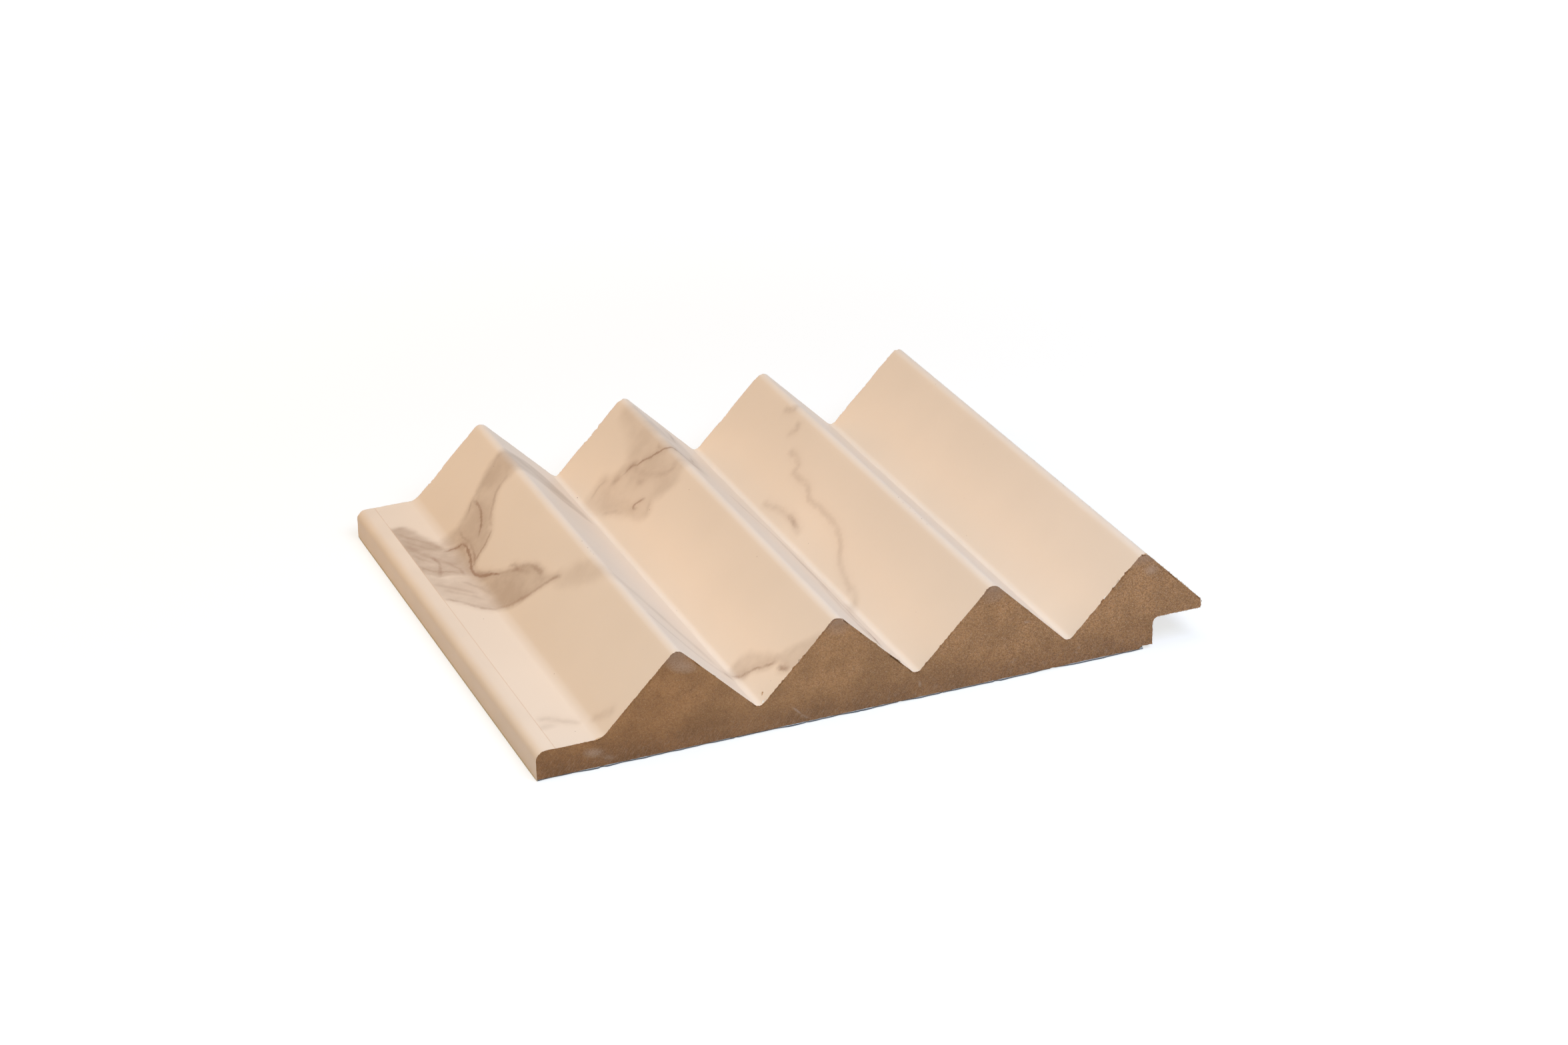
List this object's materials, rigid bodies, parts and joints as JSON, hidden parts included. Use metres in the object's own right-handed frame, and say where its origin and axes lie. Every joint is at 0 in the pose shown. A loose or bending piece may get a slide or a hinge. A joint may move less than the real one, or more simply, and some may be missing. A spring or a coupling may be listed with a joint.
{
  "type": "louvre wall panel",
  "caption": "Ridged wall panel: a milled fibreboard core under marble-print film, with a flat tongue along an edge and an overhanging lip along the opposite edge.",
  "frame": {"origin": "middle of the bounding box's bottom, on the wall face of the panel", "axes": "+X across the ridges from the tongue to the lip, +Y along the ridges away from the near cut end, +Z from the wall face to the ridges"},
  "size_m": [0.1242, 0.104, 0.0186],
  "materials": {
    "fibreboard": "sawn fibreboard",
    "marble_film": "satin cream film with fine grey-brown marble veins",
    "plain_film": "satin cream film",
    "backing": "dull dark grey film"
  },
  "bodies": {
    "root": {"mdf_core": "fibreboard", "face_film": "marble_film", "edge_film": "plain_film", "backing_film": "backing"}
  },
  "joints": []
}
